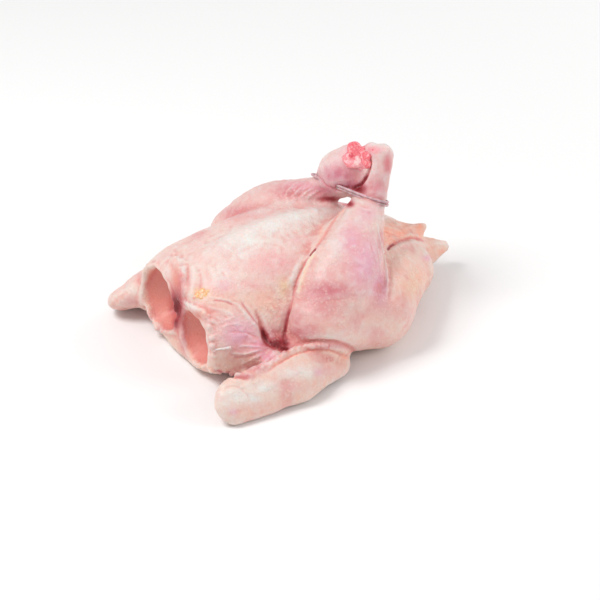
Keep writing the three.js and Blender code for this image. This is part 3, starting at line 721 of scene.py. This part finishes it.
# Patches of colour by mask: place in the frame, half width and half height in pixels, amount.
PATCHES = {
    "pale": [
        # The first seven patches are the breast's pale band, partly a painted highlight along its top. The
        # one at 440, 243 is a painted highlight on the tail.
        (250, 238, 19, 14, 1), (271, 226, 20, 14, 1), (293, 215, 22, 14, 1), (316, 207, 17, 9, 1),
        (262, 212, 14, 6, 0.7), (288, 204, 22, 6, 0.9), (316, 202, 14, 4, 0.7), (400, 258, 14, 8, 0.5),
        (281, 294, 7, 10, 0.6), (240, 252, 13, 11, 0.9), (224, 272, 12, 12, 0.6), (360, 221, 10, 12, 0.7),
        (338, 250, 9, 14, 0.7), (332, 159, 13, 8, 0.6), (375, 164, 5, 8, 0.8), (440, 243, 7, 4, 0.9),
        (392, 218, 10, 3.5, 0.9), (264, 387, 22, 8, 0.9), (238, 396, 14, 10, 1), (228, 400, 8, 12, 0.8),
        (252, 399, 15, 8, 0.9), (300, 372, 30, 7, 0.8), (131, 290, 10, 6, 0.6), (366, 330, 18, 10, 0.4),
        (289, 286, 5, 12, 0.4),
    ],
    "pink": [
        (272, 262, 28, 13, 1), (296, 241, 13, 8, 0.6), (250, 285, 20, 7, 0.6), (200, 256, 9, 8, 0.5),
        (222, 202, 12, 8, 0.6), (196, 311, 10, 6, 0.4), (374, 190, 13, 14, 1), (345, 168, 24, 20, 0.85),
        (379, 172, 10, 12, 0.5), (352, 258, 26, 34, 0.85), (330, 275, 18, 12, 0.6),
        (290, 386, 16, 6, 0.7), (258, 405, 10, 4, 0.5), (327, 371, 16, 6, 0.6), (130, 302, 14, 7, 0.7),
        (210, 285, 10, 8, 0.5), (410, 318, 9, 16, 0.5), (236, 222, 24, 6, 0.5),
    ],
    # Some of these red patches are painted shade: on the near pocket's left band, the far pocket's inner
    # lip, the breast's lower tip over the hollow, under the thigh above the wing, in the V under the flap
    # and between the breast and the far leg. The one at 130, 316 is painted bounced light under the far
    # wing.
    "rosy": [
        (330, 290, 24, 9, 0.8), (320, 300, 26, 22, 0.5), (296, 318, 9, 22, 0.55), (303, 332, 18, 12, 0.7),
        (240, 213, 34, 8, 0.6), (292, 192, 20, 8, 0.7), (322, 193, 12, 6, 0.9), (340, 177, 20, 11, 1),
        (345, 186, 14, 4, 0.8), (330, 188, 14, 7, 0.9), (346, 204, 8, 6, 0.8), (382, 241, 3.5, 10, 0.6),
        (206, 311, 9, 6, 0.4), (302, 186, 12, 5, 0.6), (352, 170, 12, 6, 0.5), (388, 164, 5, 14, 1),
        (377, 182, 12, 16, 0.4), (368, 184, 13, 12, 0.5), (180, 282, 4, 13, 1), (388, 308, 14, 10, 0.3),
        (130, 316, 18, 5, 1), (288, 318, 10, 12, 0.35), (402, 300, 9, 12, 0.3), (275, 337, 13, 9, 0.8),
        (184, 330, 4.5, 20, 1), (166, 328, 10, 4, 0.6), (256, 369, 10, 5, 0.6), (393, 240, 8, 5, 0.6),
        (349, 203, 5, 5, 0.7), (246, 376, 8, 3, 0.8), (330, 346, 26, 4, 0.6), (374, 152, 8, 4, 0.6),
        (360, 278, 14, 7, 0.3),
    ],
    "mauve": [
        (366, 262, 15, 24, 1), (352, 240, 12, 14, 0.7), (379, 285, 9, 15, 1), (368, 214, 9, 8, 0.6),
        # The patch at 267, 356 is a painted highlight, the lavender gleam on the rounded upper arm.
        (240, 335, 19, 14, 1), (256, 345, 12, 9, 0.9), (267, 356, 10, 7, 1), (427, 258, 5, 3, 1),
        (234, 412, 4, 3, 0.9), (318, 372, 4, 4, 0.6), (225, 286, 8, 6, 0.4), (300, 186, 16, 5, 0.6),
    ],
    "flesh": [(176, 284, 5, 18, 0.9), (178, 308, 5, 20, 1), (197, 316, 7, 4, 0.8)],
    "plum": [
        # The patch at 345, 185 is partly painted shade on the underside of the far ankle.
        (336, 176, 18, 10, 0.9), (345, 185, 16, 6, 1), (329, 186, 10, 5, 0.7), (380, 285, 6, 14, 0.4),
        (377, 190, 8, 12, 0.3), (266, 352, 8, 5, 0.3), (322, 293, 24, 8, 0.3), (326, 190, 18, 5, 0.7),
        (342, 203, 8, 5, 0.5),
    ],
    "bone": [
        # The first patch is painted bounced light: red along the far wing's underside, where light thrown
        # up from the floor reddens it. The rest are the red marrow at the leg ends.
        (130, 318, 18, 4, 0.7), (357, 155, 13, 12, 0.7), (373, 150, 9, 4, 0.6), (388, 162, 3, 9, 0.4),
    ],
    "cream": [
        (268, 301, 26, 15, 1), (225, 302, 20, 12, 0.7), (330, 326, 34, 13, 0.6), (402, 290, 16, 30, 1),
        (372, 326, 24, 16, 0.7), (405, 255, 18, 9, 0.9), (340, 302, 30, 5, 0.5), (300, 395, 40, 8, 0.5),
        (215, 362, 12, 7, 0.8), (446, 248, 11, 10, 0.9),
    ],
    "orange": [
        (388, 231, 11, 10, 1), (401, 233, 11, 8, 1), (421, 230, 6, 8, 1), (390, 240, 8, 6, 1),
        (411, 236, 8, 4, 0.7), (445, 257, 9, 10, 0.8), (420, 274, 9, 14, 0.5), (204, 312, 9, 5, 0.4),
        (405, 262, 20, 14, 0.3), (322, 232, 5, 9, 0.3),
    ],
    "yellow": [
        (200, 293, 8, 5, 0.8), (284, 288, 5, 10, 0.5), (303, 277, 2.5, 14, 0.3),
        (412, 288, 10, 12, 0.3),
    ],
    # Painted shade over dark flesh: dark red in the hollow under the breast, the gap between the neck's
    # pockets, the crease ends and round the far ankle.
    "dark_red_and_shade": [
        (266, 338, 2.5, 5, 0.7), (276, 343.5, 10, 4.5, 0.95), (179, 308, 3.5, 13, 0.7),
        (285, 344, 4, 6, 0.85), (176, 305, 6, 12, 0.9), (176, 322, 3.5, 6, 0.7), (359, 189, 6, 4, 0.8),
        (330, 199, 10, 2.5, 0.6), (350, 204, 3, 2.5, 0.7),
    ],
}
# Strokes of colour by mask: places in the frame, half width in millimetres, amount.
BRUSHES = {
    "pink": [([(226, 231), (250, 217), (275, 208), (300, 201), (322, 199)], 1.8, 0.45)],
    "yellow": [([(315, 250), (308, 263), (302, 278), (298, 294)], 1.7, 0.45)],
    "pale": [
        ([(302, 257), (296, 268), (290, 282)], 1.6, 0.7),
        ([(314, 253), (307, 265), (301, 280), (298, 294)], 1.5, 0.7),
        ([(377, 222), (380, 238), (383, 252), (386, 268), (387, 282)], 0.9, 0.8), (SHANK_FOLD, 0.7, 0.6),
        ([(176, 255), (182, 264), (183, 274)], 2.4, 0.9), (NEAR_POCKET_EDGE, 1.8, 0.9),
        (NECK_FOLD, 0.7, 0.5), (LOW_NECK_FOLD, 0.7, 0.5), (SHOULDER_FOLD, 0.7, 0.7),
        ([(240, 346), (250, 346), (260, 347)], 0.7, 0.8),
        ([(232, 353), (246, 353.5), (258, 350.5)], 0.7, 0.8),
    ],
    "orange": [
        ([(345, 209), (335, 219), (325, 234), (316, 247)], 1.6, 0.35),
        ([(270, 367), (288, 358), (304, 352), (322, 350), (338, 353), (349, 360)], 1.2, 0.55),
    ],
    # Red along the creases and furrows, partly skin colour and partly painted shade.
    "rosy": [
        (THIGH_CREASE, 1.3, 0.55), ([(216, 370), (230, 375), (248, 378)], 1.4, 0.9),
        ([(291, 306), (287.5, 320), (285.5, 333), (286, 345)], 2.4, 0.7),
        ([(308, 258), (301, 271), (295, 286), (293, 299), (290, 312)], 0.7, 0.8),
        ([(388.5, 248), (394, 243.5), (403, 240), (412, 238), (424, 241)], 1.2, 0.9),
        (SHOULDER_FURROW, 0.6, 0.6), (NECK_FURROW, 0.6, 0.6),
        ([(351, 192), (361, 185), (367, 176), (371, 165), (371, 153)], 1.6, 0.8),
    ],
    "cream": [
        ([(185, 303), (185, 330), (191, 354), (204, 367), (226, 375)], 1.8, 0.95),
        (FAR_POCKET_EDGE, 2.2, 1),
        ([(262, 368), (284, 354), (298, 348), (312, 346), (328, 347), (342, 350), (352, 357)], 1.3, 0.9),
    ],
    # Painted shade over dark flesh: dark red along the breast's crease, the thigh's nick, the V under the
    # flap, the far ankle and the hollow under the breast.
    "dark_red_and_shade": [
        ([(290, 310), (287, 322), (285, 332), (285, 344)], 1.1, 0.4), (THIGH_NICK, 0.7, 0.9),
        ([(387.5, 250), (390, 247), (394, 244.5)], 0.8, 0.7),
        ([(354, 190), (362, 184), (367, 176)], 1.2, 0.8),
        ([(262.5, 329), (264.5, 336), (268, 341.5), (274, 345.5), (281, 348), (289, 349)], 1.8, 0.95),
    ],
    "bone": [([(367, 149), (372, 149), (377, 150)], 1.1, 0.7)],
}
RIM_BRUSH = (3.2, 0.95)  # half width and amount of the cream colour round the pockets' mouths
# Where the skin dips below or stands above its surroundings, in millimetres: starts and full. Painted
# shade goes in the dips, and paler skin with a painted highlight goes on the rises.
CREASE_SHADE_RANGE, RIDGE_HIGHLIGHT_RANGE = (0.03, 0.45), (0.04, 0.45)
CREASE_SHADE_AMOUNT, RIDGE_HIGHLIGHT_AMOUNT = 0.8, 0.5
PALE_SHADE_LOSS, PALE_RED_LOSS = 0.55, 0.85  # what full pale skin takes from them and from the reds
UNEVEN_MASKS = ("pink", "rosy", "mauve", "cream", "orange")
BLOTCH_SWING, FINE_SWING = 0.14, 0.18  # how far the blotches raise and lower those masks
TINT_ORDER = [
    "cream", "pale", "pink", "rosy", "mauve", "plum", "orange", "yellow", "ridge", "flesh",
    "bone", "crease_shade", "dark_red_and_shade",
]
# Painted shade in the hollows takes the creases' darker red, and the ridges take the pale colour as paler
# skin with a painted highlight.
MASK_COLOURS = {"ridge": "pale", "crease_shade": "crease_red_and_shade"}
# The ankles' skin has few follicles: the heights over which they thin out, and the share that goes.
THINNING_HEIGHTS, THINNING = (92, 104), 0.85


def paint_skin(skin):
    """Masks for the colours, by the bird's own parts first and then by what is seen on it."""
    x, y, z = skin.co.T
    masks = skin.masks
    blotch = value_noise(skin.co, *BLOTCHES)
    fine = value_noise(skin.co, *FINE_BLOTCHES)
    masks["pale"] = BREAST_PALE * np.exp(-((y / PALE_HALF_WIDTH) ** 2))
    masks["pale"] *= between(z, *PALE_HEIGHTS) * between(x, *PALE_START)
    masks["cream"] = LOW_CREAM * between(z, *CREAM_HEIGHTS)
    masks["pink"] = LOOSE_PINK * between(blotch + FINE_SHARE * fine, *LOOSE_PINK_RANGE)
    red_blotch = value_noise(skin.co, *RED_BLOTCHES)
    masks["rosy"] = LOOSE_ROSY * between(red_blotch, *LOOSE_ROSY_RANGE)
    for name, spot, radii, amount in PLACES:
        skin.dab_at(name, spot, radii, amount)
    for name, patches in PATCHES.items():
        for patch in patches:
            skin.dab(name, *patch)
    for name, brushes in BRUSHES.items():
        for pixels, width, amount in brushes:
            skin.paint(name, skin.path(pixels), width, amount)
    for pocket in (LEFT_POCKET, RIGHT_POCKET):
        mouth = pocket_mouth(pocket)
        skin.paint("cream", np.vstack([mouth, mouth[:1]]), *RIM_BRUSH, fading=False)
    # Painted shade in each hollow, from how far the point lies below its surroundings.
    hollow = skin.hollows()
    crease_shade_amount = CREASE_SHADE_AMOUNT - PALE_SHADE_LOSS * masks["pale"]
    masks["crease_shade"] = crease_shade_amount * between(hollow, *CREASE_SHADE_RANGE)
    # The ridges get the pale colour: paler skin with a painted highlight.
    masks["ridge"] = RIDGE_HIGHLIGHT_AMOUNT * between(-hollow, *RIDGE_HIGHLIGHT_RANGE)
    for name in ("pink", "rosy"):
        masks[name] *= 1 - PALE_RED_LOSS * masks["pale"]
    uneven = 1 + BLOTCH_SWING * blotch + FINE_SWING * fine
    for name in UNEVEN_MASKS:
        masks[name] = np.clip(masks[name] * uneven, 0, 1)


def skin_tint(masks, colours):
    """The masks' colours laid over each other in order, as pigments that darken what they cover."""
    density = np.tile(np.log(linear(colours.skin)), (len(masks["flesh"]), 1))
    for name in TINT_ORDER:
        pigment = np.log(linear(getattr(colours, MASK_COLOURS.get(name, name))))
        density += masks[name][:, None] * (pigment - density)
    return np.exp(density)


def skin_finish(skin):
    """How wet the skin is, in the red channel, and how thick its follicles stand, in the green."""
    wet = skin.masks["flesh"]
    bare = np.clip(wet + skin.masks["dark_red_and_shade"], 0, 1)
    downy = (1 - bare) * (1 - THINNING * between(skin.co[:, 2], *THINNING_HEIGHTS))
    return np.column_stack([wet, downy, 0 * wet])


def linear(gamma_colour):
    c = np.array(gamma_colour[:3], float)
    return np.where(c <= 0.04045, c / 12.92, ((c + 0.055) / 1.055) ** 2.4)


def store_colour(mesh, name, rgb):
    layer = mesh.color_attributes.new(name, "FLOAT_COLOR", "POINT")
    data = np.column_stack([rgb, np.ones(len(rgb))])
    layer.data.foreach_set("color", data.astype(np.float32).ravel())


def fitted(co):
    """Keeps points inside the box of the bird's solid, in millimetres."""
    low, high = (np.array(corner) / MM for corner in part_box("chicken"))
    return np.clip(co, low, high)


def finished(skin, name, tint, material):
    """A piece from a sculpted mesh: in metres, coloured, and tied to the bird."""
    set_coordinates(skin.mesh, fitted(skin.co) * MM)
    store_colour(skin.mesh, "tint", tint)
    skin.mesh.polygons.foreach_set("use_smooth", [True] * len(skin.mesh.polygons))
    skin.mesh.update()
    piece = new_object(name, skin.mesh)
    piece.data.materials.append(material)
    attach(piece, "root")
    return piece


class CHICKEN_OT_skin(bpy.types.Operator):
    """Build the bird's skin with its folds, openings and colours"""

    bl_idname = "chicken.skin"
    bl_label = "Skin"

    def execute(self, context):
        scene = context.scene
        skin = skin_form(scene.chicken_sizes, View(scene.chicken_studio))
        skin.smooth(SKIN_ROUNDS)
        skin.refresh()
        fine = [pixels for folds in ALL_FOLDS for pixels, width, _ in folds if width < FINE_FOLD]
        fine += [pixels for pixels, _ in RAGGED_EDGES]
        skin = skin.refined([skin.path(pixels) for pixels in fine], FINE_REACH)
        skin.masks["flesh"] = pocket_mask(skin)
        fold_skin(skin)
        wrinkle_skin(skin)
        skin.smooth(1)
        skin.refresh()
        for pixels, seed in RAGGED_EDGES:
            bead_edge(skin, skin.path(pixels), seed)
        skin.refresh()
        paint_skin(skin)
        tint = skin_tint(skin.masks, scene.chicken_colours)
        piece = finished(skin, "chicken_skin", tint, skin_material(scene.chicken_sizes))
        store_colour(piece.data, "finish", skin_finish(skin))
        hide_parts("chicken")
        return {"FINISHED"}


# ---- bone ends and fat

# Lobes at the legs' cut ends: place in the frame, radius in millimetres, flatness, colour.
LOBES = [
    (357, 155.5, 9.8, 0.32, "gristle"), (355, 148, 6.2, 0.45, "bone"), (362, 150.5, 4.2, 0.5, "bone"),
    (350.5, 155.5, 4, 0.5, "bone"), (366, 156.5, 4.4, 0.5, "bone"), (366, 164, 4, 0.5, "bone"),
    (345.5, 159, 3.6, 0.4, "gristle"), (350, 164, 3.6, 0.4, "gristle"), (361, 167.5, 3.2, 0.4, "gristle"),
    (356.5, 163, 2.2, 0.9, "cartilage"), (358.5, 161, 1.8, 0.9, "cartilage"),
    (357, 158.5, 1.6, 1.1, "cartilage"), (351.2, 155.8, 1.8, 1.05, "blood"),
    (358.3, 151.5, 1.5, 1.4, "blood"), (366, 160.5, 1.3, 1.5, "blood"), (373, 150, 1.4, 0.5, "bone"),
]
# Beads of fat on the skin: place in the frame, radius in millimetres, flatness, colour.
BEADS = [
    (197.5, 295, 2.7, 0.45, "yellow"), (202, 290.5, 2.6, 0.45, "yellow"), (205.5, 295, 2, 0.45, "yellow"),
    (201, 297.5, 1.7, 0.5, "yellow"), (208, 291, 1.5, 0.5, "yellow"), (194, 298, 1.5, 0.5, "cream"),
]
# Thin pale strips raised on the skin: places in the frame, radius in millimetres, colour.
FAT_STRIPS = [([(214, 350), (219, 349), (225, 348.5), (231, 347.5)], 1.2, "pale")]
# Spacing of the meshes' points, in millimetres.
BONE_GRAIN = 0.55
FAT_GRAIN = 0.4
SUNK = 0.2  # how deep a lobe's middle lies in the skin, as a share of its radius
STRIP_TAPER = 0.6  # a strip's radius at its start, as a share of that at its end
OWN_COLOUR = (1.3, 0.95)  # distances, in radii, from where a lobe's colour starts to where it is full


def set_on_skin(scene, name, lumps, strips, grain, material):
    """One closed mesh of lumps and strips sunk half into the skin, each in its own colour."""
    under = bpy.data.objects["chicken_skin"].data.copy()
    set_coordinates(under, coordinates(under) / MM)
    skin = Skin(under, View(scene.chicken_studio))
    bm = bmesh.new()
    marks = []
    for seed, (u, v, radius, flatness, colour_name) in enumerate(lumps):
        spot, normal = skin.hit_and_normal(u, v)
        verts = lump(bm, (radius, radius, radius * flatness), seed)
        set_at(bm, verts, normal, spot - SUNK * radius * normal)
        marks.append((spot, radius, colour_name))
    for pixels, radius, colour_name in strips:
        line = skin.path(pixels)
        tube_along(bm, line, radius * np.linspace(STRIP_TAPER, 1, len(line)))
        marks += [(spot, radius, colour_name) for spot in line]
    bmesh.ops.recalc_face_normals(bm, faces=bm.faces)
    piece = Skin(fused(bm, name, grain), skin.view)
    piece.smooth(LOBE_ROUNDS, keep_size=False)
    centres, reach, colour_names = zip(*marks)
    tints = np.array([linear(getattr(scene.chicken_colours, each)) for each in colour_names])
    gaps = np.linalg.norm(piece.co[:, None] - np.array(centres), axis=2) / np.array(reach)
    tint = tints[gaps.argmin(1)]
    for gap, laid_over in zip(gaps.T, tints):
        tint += between(gap, *OWN_COLOUR)[:, None] * (laid_over - tint)
    finished(piece, name, tint, material)


class CHICKEN_OT_bone_ends(bpy.types.Operator):
    """Add the bone, gristle and cartilage at the legs' cut ends"""

    bl_idname = "chicken.bone_ends"
    bl_label = "Bone Ends"

    def execute(self, context):
        material = wet_material("bone_ends", 0.22, 900)
        set_on_skin(context.scene, "bone_ends", LOBES, [], BONE_GRAIN, material)
        return {"FINISHED"}


class CHICKEN_OT_fat(bpy.types.Operator):
    """Add the beads of fat and the pale strips on the skin"""

    bl_idname = "chicken.fat"
    bl_label = "Fat"

    def execute(self, context):
        material = wet_material("fat", 0.3, 700)
        set_on_skin(context.scene, "fat", BEADS, FAT_STRIPS, FAT_GRAIN, material)
        return {"FINISHED"}


# ---- materials


class Look:
    """A new material, with short ways to add nodes to it and to join them."""

    def __init__(self, name):
        self.material = bpy.data.materials.new(name)
        self.material.use_nodes = True
        self.nodes = self.material.node_tree.nodes
        self.shader = self.nodes["Principled BSDF"]

    def node(self, kind, output, inputs=None, **settings):
        """Adds a node with its settings, feeds its inputs and gives one of its outputs."""
        node = self.nodes.new("ShaderNode" + kind)
        for name, setting in settings.items():
            setattr(node, name, setting)
        for name, value in (inputs or {}).items():
            self.feed(node.inputs[name], value)
        return node.outputs[output]

    def feed(self, socket, value):
        """Links a socket to another node's output, or sets it to a number or colour."""
        if isinstance(value, bpy.types.NodeSocket):
            self.material.node_tree.links.new(value, socket)
        else:
            socket.default_value = value

    def shade(self, sockets):
        """Feeds the shader's sockets and gives the finished material."""
        for name, value in sockets.items():
            self.feed(self.shader.inputs[name], value)
        return self.material

    @functools.cached_property
    def place(self):
        """Places on the piece, in metres."""
        return self.node("TexCoord", "Object")

    def noise(self, scale, detail, roughness=0.5):
        inputs = {"Vector": self.place, "Scale": scale, "Detail": detail, "Roughness": roughness}
        return self.node("TexNoise", "Fac", inputs)

    def stored(self, name):
        """A colour stored on the mesh."""
        return self.node("Attribute", "Color", attribute_name=name)

    def maths(self, operation, *values):
        return self.node("Math", "Value", dict(enumerate(values)), operation=operation)

    def mix(self, blend, factor, first, second):
        inputs = {"Factor": factor, "A": first, "B": second}
        return self.node("Mix", "Result", inputs, data_type="RGBA", blend_type=blend)

    def span(self, value, low, high, to_low, to_high):
        """Maps values from low to high smoothly to values from to_low to to_high."""
        inputs = {"Value": value, "From Min": low, "From Max": high, "To Min": to_low, "To Max": to_high}
        return self.node("MapRange", "Result", inputs, interpolation_type="SMOOTHSTEP")

    def bump(self, height, strength, distance):
        inputs = {"Height": height, "Strength": strength, "Distance": distance}
        return self.node("Bump", "Normal", inputs)


def skin_material(sizes):
    """Moist poultry skin: blotched colour, raised feather follicles and fine creases."""
    look = Look("raw_skin")
    wet = look.node("SeparateColor", "Red", {"Color": look.stored("finish")})
    downy = wet.node.outputs["Green"]
    blotches = look.span(look.noise(90, 4, 0.6), 0.62, 0.36, 0, 0.32)
    mottled = look.mix("MULTIPLY", blotches, look.stored("tint"), (1, 0.80, 0.80, 1))
    veins = look.span(look.noise(330, 3, 0.7), 0.58, 0.40, 0, 0.42)
    mottled = look.mix("MULTIPLY", veins, mottled, (0.97, 0.84, 0.80, 1))

    follicles = {"Vector": look.place, "Scale": 1 / sizes.follicle_spacing, "Randomness": 0.9}
    domes = look.span(look.node("TexVoronoi", "Distance", follicles), 0.04, 0.55, 1, 0)
    patchy = look.span(look.noise(60, 2), 0.40, 0.62, 0.25, 1)
    spots = look.maths("MULTIPLY", look.maths("MULTIPLY", domes, downy), patchy)
    dotted = look.mix("MIX", look.maths("MULTIPLY", spots, 0.32), mottled, (0.91, 0.77, 0.66, 1))
    relief = look.maths("MULTIPLY_ADD", look.noise(620, 4, 0.6), 2.2, spots)
    damp = look.span(look.noise(42, 2), 0.35, 0.65, 0.40, 0.54)
    return look.shade({
        "Base Color": dotted,
        "Normal": look.bump(relief, 0.6, 0.0005),
        "Roughness": look.maths("SUBTRACT", damp, look.maths("MULTIPLY", wet, 0.12)),
        "Subsurface Weight": 0.3,
        "Subsurface Radius": (1.0, 0.4, 0.28),
        "Subsurface Scale": 0.002,
        "Specular IOR Level": 0.45,
        "Coat Weight": 0.18,
        "Coat Roughness": 0.22,
    })


def wet_material(name, roughness, grain):
    """Wet flesh or fat in the colours stored on the mesh, finely mottled."""
    look = Look(name)
    speck = look.noise(grain, 3, 0.6)
    specks = look.span(speck, 0.60, 0.40, 0, 0.8)
    mottled = look.mix("MULTIPLY", specks, look.stored("tint"), (0.92, 0.62, 0.64, 1))
    clouds = look.span(look.noise(grain * 0.6, 2), 0.52, 0.66, 0, 0.45)
    return look.shade({
        "Base Color": look.mix("MIX", clouds, mottled, (0.95, 0.62, 0.60, 1)),
        "Normal": look.bump(speck, 0.5, 0.0004),
        "Roughness": roughness,
        "Subsurface Weight": 0.35,
        "Subsurface Radius": (1.0, 0.35, 0.25),
        "Subsurface Scale": 0.002,
    })


def tie_material(colours):
    """Thin elastic, a little see-through, with darker and lighter streaks."""
    look = Look("elastic")
    streaks = look.node("ValToRGB", "Color", {"Fac": look.noise(300, 2)})
    tie = linear(colours.tie)
    for element, position, shade in zip(streaks.node.color_ramp.elements, (0.35, 0.65), (0.72, 1.2)):
        element.position = position
        element.color = (*(tie * shade), 1)
    return look.shade({
        "Base Color": streaks,
        "Roughness": 0.5,
        "Subsurface Weight": 0.4,
        "Subsurface Scale": 0.001,
    })


class CHICKEN_OT_leg_tie(bpy.types.Operator):
    """Finish the elastic loop round the ankles"""

    bl_idname = "chicken.leg_tie"
    bl_label = "Leg Tie"

    def execute(self, context):
        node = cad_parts["leg_tie"]
        node.data.materials.clear()
        node.data.materials.append(tie_material(context.scene.chicken_colours))
        return {"FINISHED"}


# ---- the studio

FLOOR_HALF = 4.0  # half the floor's width, in metres
# Lights: name, width in metres, share of the main light's power, place in metres.
LIGHTS = [
    ("key", 0.5, 1.0, (-0.6, 0.1, 1.0)),
    ("fill", 0.8, 0.7, (0.95, -0.9, 0.7)),
    ("back", 0.6, 0.3, (1.1, 0.35, 0.55)),
]
LIT_SPOT = (0, 0, 0.06)
SKY_COLOUR = (1.0, 0.99, 0.985, 1)
FAR_LIMIT = 20  # how far the camera sees, in metres


def studio_light(name, size, power, place):
    light = bpy.data.lights.new(name, "AREA")
    light.shape = "DISK"
    light.size = size
    light.energy = power
    lamp = new_object(name, light)
    lamp.location = place
    lamp.rotation_euler = (Vector(LIT_SPOT) - Vector(place)).to_track_quat("-Z", "Y").to_euler()


class CHICKEN_OT_stage(bpy.types.Operator):
    """Set up the floor, the lights and the camera"""

    bl_idname = "chicken.stage"
    bl_label = "Stage"

    def execute(self, context):
        scene = context.scene
        studio = scene.chicken_studio
        view = View(studio)
        bm = bmesh.new()
        bmesh.ops.create_grid(bm, x_segments=2, y_segments=2, size=FLOOR_HALF)
        floor = new_object("studio_floor", mesh_from(bm, "studio_floor"))
        paint = (*linear(scene.chicken_colours.floor), 1)
        matt = Look("studio_floor").shade({"Base Color": paint, "Roughness": 0.7})
        floor.data.materials.append(matt)

        scene.view_settings.view_transform = "Standard"
        scene.world = bpy.data.worlds.new("studio")
        scene.world.use_nodes = True
        sky = scene.world.node_tree.nodes["Background"]
        sky.inputs["Color"].default_value = SKY_COLOUR
        sky.inputs["Strength"].default_value = studio.sky
        for name, size, share, place in LIGHTS:
            studio_light(name, size, studio.key * share, place)

        camera = new_object("camera", bpy.data.cameras.new("camera"))
        camera.data.lens = studio.lens
        camera.data.sensor_width = SENSOR
        camera.data.clip_end = FAR_LIMIT
        camera.location = view.place
        camera.rotation_euler = view.back.to_track_quat("Z", "Y").to_euler()
        scene.camera = camera
        return {"FINISHED"}


# ---- panel and start


class CHICKEN_PT_pieces(bpy.types.Panel):
    """Buttons for the bird's pieces"""

    bl_idname = "CHICKEN_PT_pieces"
    bl_label = "Raw Chicken"
    bl_space_type = "VIEW_3D"
    bl_region_type = "UI"
    bl_category = "Chicken"

    def draw(self, context):
        for operator in OPERATORS:
            self.layout.operator(operator.bl_idname)


OPERATORS = [
    CHICKEN_OT_stage, CHICKEN_OT_skin, CHICKEN_OT_bone_ends, CHICKEN_OT_fat, CHICKEN_OT_leg_tie
]
CLASSES = [ChickenSizes, ChickenColours, StudioSettings, *OPERATORS, CHICKEN_PT_pieces]
SETTINGS = {
    "chicken_sizes": ChickenSizes,
    "chicken_colours": ChickenColours,
    "chicken_studio": StudioSettings,
}


def register():
    for cls in CLASSES:
        bpy.utils.register_class(cls)
    for name, group in SETTINGS.items():
        setattr(bpy.types.Scene, name, bpy.props.PointerProperty(type=group))


def unregister():
    for name in SETTINGS:
        delattr(bpy.types.Scene, name)
    for cls in reversed(CLASSES):
        bpy.utils.unregister_class(cls)


def main():
    register()
    bpy.ops.chicken.stage()
    bpy.ops.chicken.skin()
    bpy.ops.chicken.bone_ends()
    bpy.ops.chicken.fat()
    bpy.ops.chicken.leg_tie()


if __name__ == "__main__":
    main()
